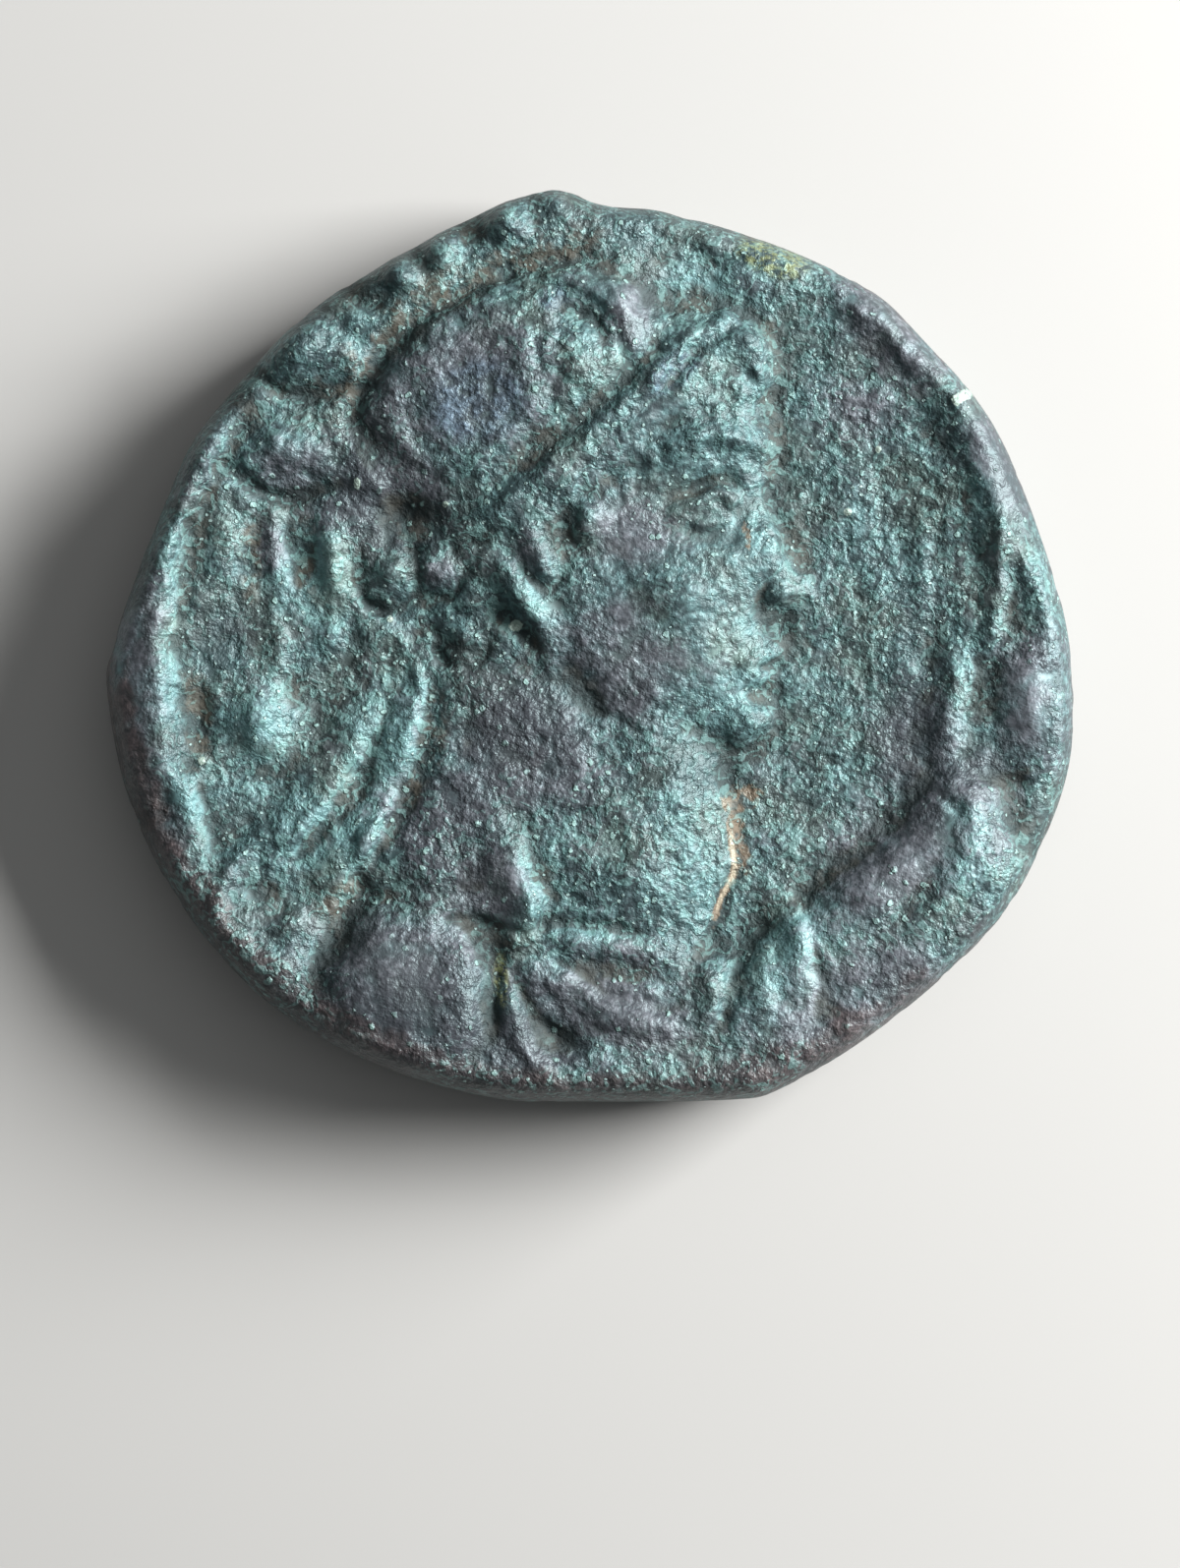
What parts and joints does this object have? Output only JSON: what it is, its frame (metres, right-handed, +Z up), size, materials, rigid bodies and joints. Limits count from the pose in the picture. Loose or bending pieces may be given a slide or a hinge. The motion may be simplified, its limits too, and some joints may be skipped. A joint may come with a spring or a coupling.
{
  "type": "bronze tetradrachm coin",
  "caption": "Thick worn bronze coin with an uneven rounded flan, a laureate and draped bust in relief and an eagle on the back.",
  "frame": {"origin": "middle of the underside, on the plane that the coin rests on", "axes": "+Z up out of the obverse, +Y towards the top of the bust, +X to the right across the obverse, the way the bust faces"},
  "size_m": [0.021, 0.0198, 0.004],
  "materials": {
    "patinated_bronze": "worn bronze under a dark grey-green patina, half glossy, with purple-brown high spots"
  },
  "bodies": {
    "root": {"coin": "patinated_bronze"}
  },
  "joints": []
}
